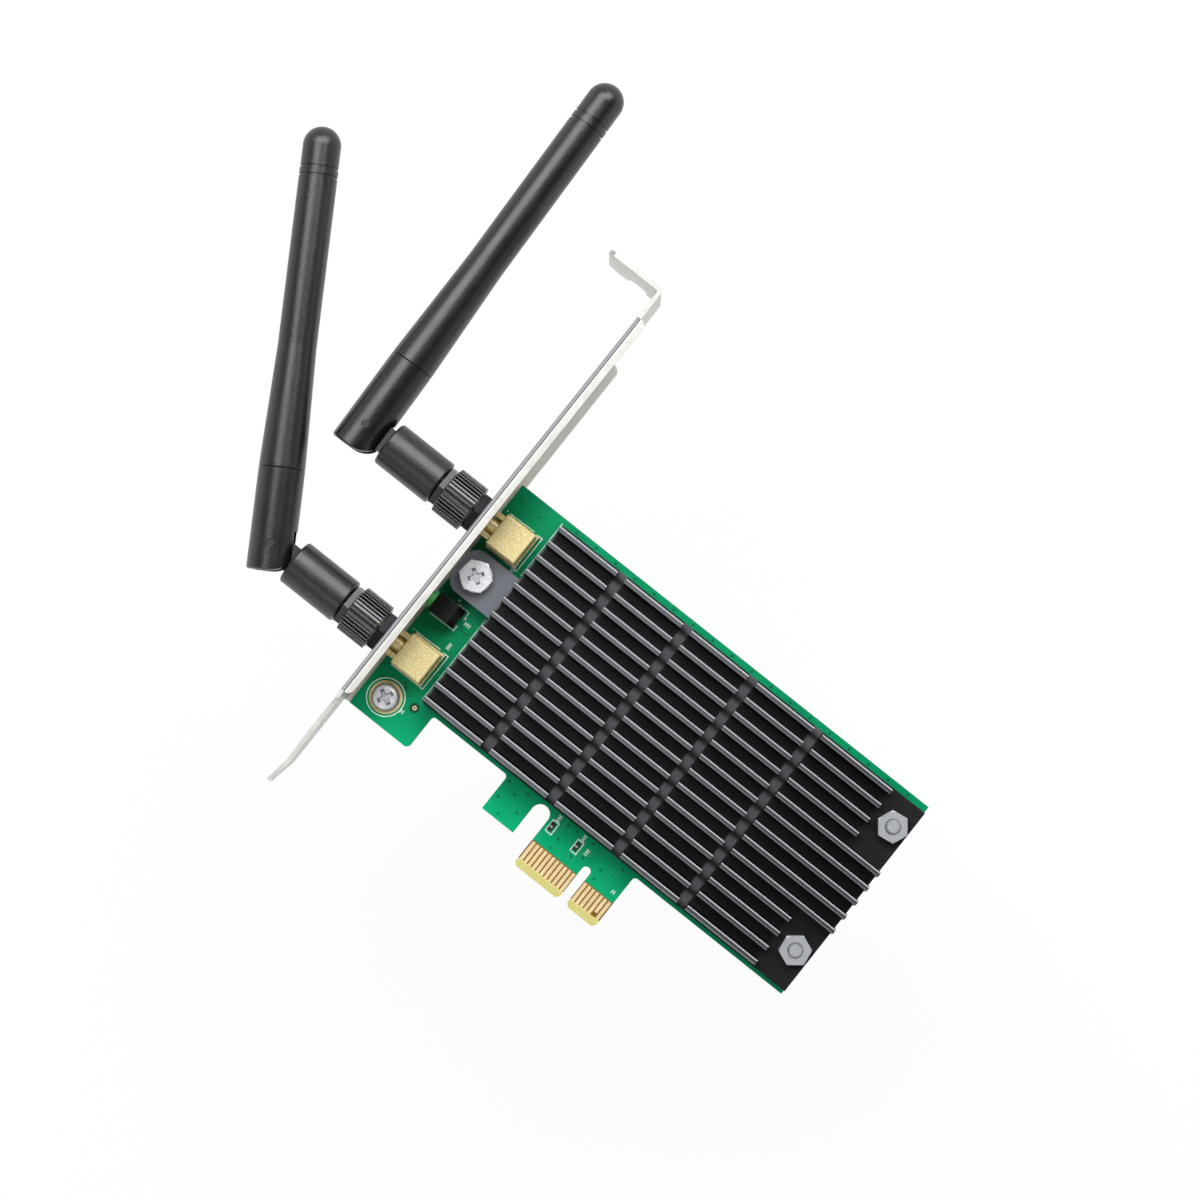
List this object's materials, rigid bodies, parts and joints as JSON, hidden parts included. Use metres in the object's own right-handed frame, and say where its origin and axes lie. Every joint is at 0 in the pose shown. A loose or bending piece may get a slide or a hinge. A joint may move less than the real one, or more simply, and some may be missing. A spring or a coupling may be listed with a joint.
{
  "type": "pcie wifi card",
  "caption": "Plug-in wireless network card with a finned heatsink, a slot bracket and folding, swivelling antennas on threaded jacks.",
  "frame": {"origin": "middle of the key notch on the edge connector's lower edge, at the board's mid-plane", "axes": "+X along the board from the bracket to the tail, +Y from the edge connector towards the screw tab, +Z out of the component side"},
  "size_m": [0.1789, 0.1491, 0.0193],
  "materials": {
    "board_green": "green solder mask, semi-gloss",
    "contact_gold": "thin gold plating",
    "bracket_steel": "plated sheet steel, satin",
    "heatsink_black": "black anodised",
    "pad_grey": "soft thermal pad",
    "chip_black": "moulded chip case",
    "capacitor_tan": "fired ceramic body",
    "coil_grey": "pressed ferrite",
    "crystal_metal": "drawn metal lid",
    "jack_gold": "gold-plated brass, bead-blasted",
    "insulator_white": "white dielectric",
    "fastener_steel": "zinc-plated steel",
    "nut_black": "black plated",
    "spacer_brass": "plain turned",
    "lamp_black": "moulded, smooth",
    "lens_green": "clear green moulding",
    "solder": "bright solder",
    "grip_black": "glossy moulded grip",
    "antenna_black": "fine-textured moulding",
    "radiator_brass": "drawn tube and wire"
  },
  "bodies": {
    "card": {"circuit_board": "board_green", "edge_contacts_front": "contact_gold", "edge_contacts_back": "contact_gold", "bracket": "bracket_steel", "heatsink": "heatsink_black", "thermal_pad": "pad_grey", "radio_chip": "chip_black", "front_end_chips": "chip_black", "power_coil": "coil_grey", "crystal": "crystal_metal", "chip_capacitors": "capacitor_tan", "ground_ring": "contact_gold", "board_screw": "fastener_steel", "heatsink_screw": "fastener_steel", "tail_screws": "fastener_steel", "tail_nuts": "fastener_steel", "spacers": "spacer_brass", "lamp_housing": "lamp_black", "lamp_lens": "lens_green", "lamp_leads": "solder", "jack_upper": "jack_gold", "jack_lower": "jack_gold", "jack_insulators": "insulator_white", "jack_contacts": "contact_gold", "jack_washers": "nut_black", "jack_nuts": "nut_black", "solder_joints": "solder"},
    "upper_nut": {"upper_coupling_nut": "grip_black"},
    "upper_swivel": {"upper_swivel": "antenna_black", "upper_plug": "jack_gold", "upper_plug_insulator": "insulator_white", "upper_plug_contact": "contact_gold", "upper_feed_lead": "antenna_black"},
    "upper_rod": {"upper_rod_base": "antenna_black", "upper_rod_sleeve": "antenna_black", "upper_radiator": "radiator_brass", "upper_hinge_pin": "antenna_black"},
    "lower_nut": {"lower_coupling_nut": "grip_black"},
    "lower_swivel": {"lower_swivel": "antenna_black", "lower_plug": "jack_gold", "lower_plug_insulator": "insulator_white", "lower_plug_contact": "contact_gold", "lower_feed_lead": "antenna_black"},
    "lower_rod": {"lower_rod_base": "antenna_black", "lower_rod_sleeve": "antenna_black", "lower_radiator": "radiator_brass", "lower_hinge_pin": "antenna_black"}
  },
  "joints": [
    {"name": "upper_nut_turn", "type": "hinge", "parent": "card", "child": "upper_nut", "pos_m": [-0.0645, 0.0496, 0.0043], "axis": [1, 0, 0], "continuous": true},
    {"name": "upper_swivel_turn", "type": "hinge", "parent": "card", "child": "upper_swivel", "pos_m": [-0.076, 0.0496, 0.0043], "axis": [1, 0, 0], "range_deg": [-150, 150]},
    {"name": "upper_rod_fold", "type": "hinge", "parent": "upper_swivel", "child": "upper_rod", "pos_m": [-0.08834, 0.0496, 0.0043], "axis": [0, 0, -1], "range_deg": [-30.6, 2.4]},
    {"name": "lower_nut_turn", "type": "hinge", "parent": "card", "child": "lower_nut", "pos_m": [-0.0645, 0.0198, 0.0043], "axis": [1, 0, 0], "continuous": true},
    {"name": "lower_swivel_turn", "type": "hinge", "parent": "card", "child": "lower_swivel", "pos_m": [-0.076, 0.0198, 0.0043], "axis": [1, 0, 0], "range_deg": [-150, 150]},
    {"name": "lower_rod_fold", "type": "hinge", "parent": "lower_swivel", "child": "lower_rod", "pos_m": [-0.08834, 0.0198, 0.0043], "axis": [0, 0, -1], "range_deg": [-58.3, 7.7]}
  ]
}
